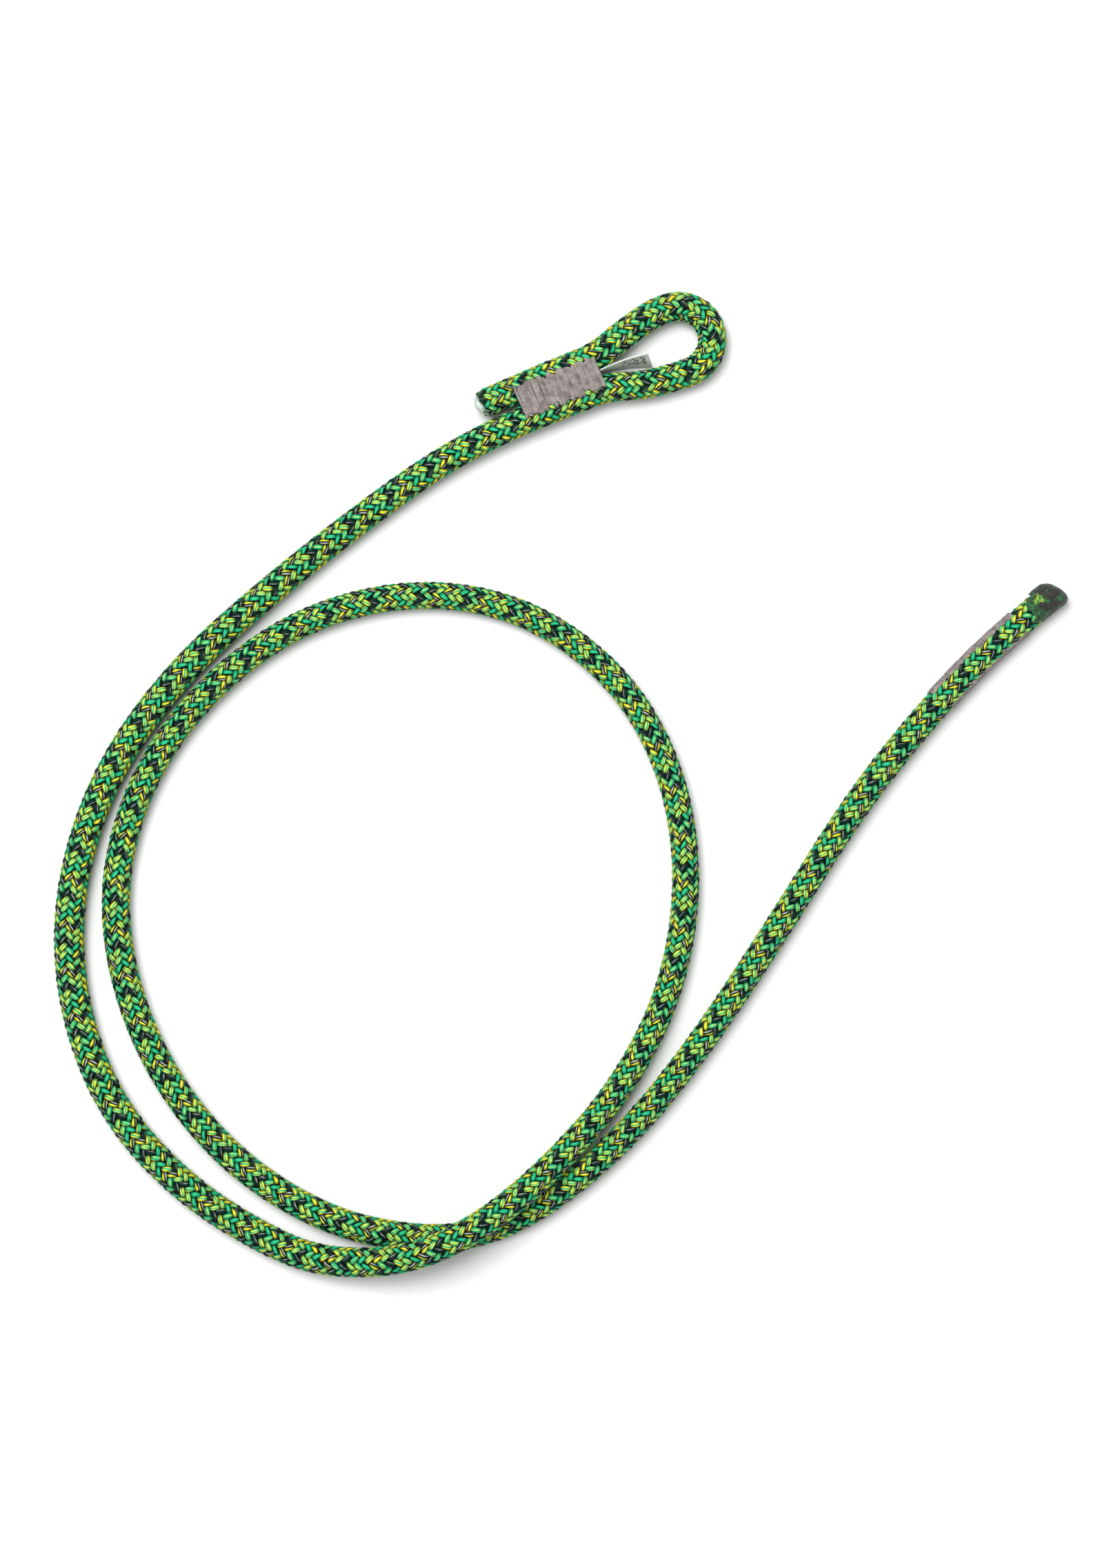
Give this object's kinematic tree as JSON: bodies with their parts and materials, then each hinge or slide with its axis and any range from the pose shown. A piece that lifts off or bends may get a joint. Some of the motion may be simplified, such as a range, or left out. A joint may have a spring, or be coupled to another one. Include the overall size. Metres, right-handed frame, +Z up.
{
  "type": "eye-sewn climbing cord",
  "caption": "Braided climbing cord with one sewn eye and a sewn, melted tail, lying on a flat surface in a loose loop that crosses itself once.",
  "frame": {"origin": "on the surface that the rope lies on, under the middle of its outline", "axes": "+Z up from the surface, +Y towards the eye's side of the layout (up in a view from above), +X towards the free tail"},
  "size_m": [0.339, 0.3297, 0.0205],
  "materials": {
    "sheath": "braided filament yarn, slightly glossy",
    "core": "twisted white filament yarn",
    "thread": "waxed grey sewing thread",
    "fused_core": "fused, slightly translucent",
    "melted_end": "melted and smeared, uneven gloss",
    "label_tape": "smooth coated tape"
  },
  "bodies": {
    "loop": {"sheath_loop": "sheath", "core_strand_1": "core", "core_strand_2": "core", "core_strand_3": "core", "core_strand_4": "core", "core_strand_5": "core", "core_strand_6": "core", "core_strand_7": "core", "sheath_eye_bend": "sheath", "core_strands_eye_bend": "core", "sheath_tail_bend": "sheath", "core_strands_tail_bend": "core"},
    "eye": {"sheath_eye": "sheath", "core_strands_eye": "core", "eye_stitching_top": "thread", "eye_stitching_bottom": "thread", "stub_end_cap": "fused_core"},
    "label": {"label": "label_tape"},
    "tail": {"sheath_tail": "sheath", "core_strands_tail": "core", "tail_stitching_left": "thread", "tail_stitching_right": "thread", "tail_end_cap": "melted_end"}
  },
  "joints": [
    {"name": "eye_swing", "type": "hinge", "parent": "loop", "child": "eye", "pos_m": [-0.079, 0.079, 0.0045], "axis": [0, 0, 1], "range_deg": [-20, 40], "deforming": ["sheath_eye_bend", "core_strands_eye_bend"]},
    {"name": "tail_swing", "type": "hinge", "parent": "loop", "child": "tail", "pos_m": [0.0614, -0.0658, 0.0045], "axis": [0, 0, 1], "range_deg": [-40, 25], "deforming": ["sheath_tail_bend", "core_strands_tail_bend"]},
    {"name": "label_flap", "type": "hinge", "parent": "eye", "child": "label", "pos_m": [0.0156, 0.1389, 0.005], "axis": [0, 0, 1], "range_deg": [-3, 12]}
  ]
}
